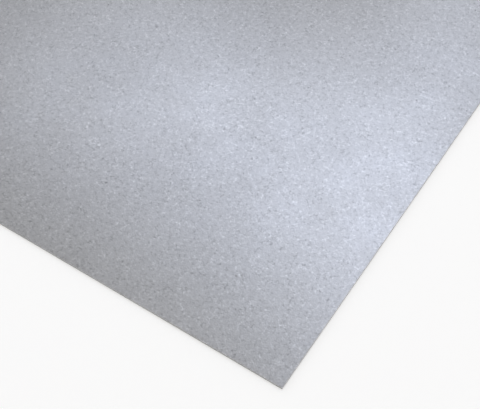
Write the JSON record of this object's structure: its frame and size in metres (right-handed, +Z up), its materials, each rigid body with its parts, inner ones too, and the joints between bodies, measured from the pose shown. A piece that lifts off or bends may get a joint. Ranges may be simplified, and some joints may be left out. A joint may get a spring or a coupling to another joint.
{
  "type": "galvanized steel sheet",
  "caption": "Flat rectangular sheet of hot-dip galvanized steel with square corners and guillotine-sheared edges.",
  "frame": {"origin": "middle of the underside, on the floor", "axes": "+X along the length, +Y across the width, +Z up through the thickness"},
  "size_m": [0.5, 0.25, 0.001],
  "materials": {
    "zinc_coated_steel": "satin grey zinc coating with a fine, minimised spangle"
  },
  "bodies": {
    "root": {"galvanized_sheet": "zinc_coated_steel"}
  },
  "joints": []
}
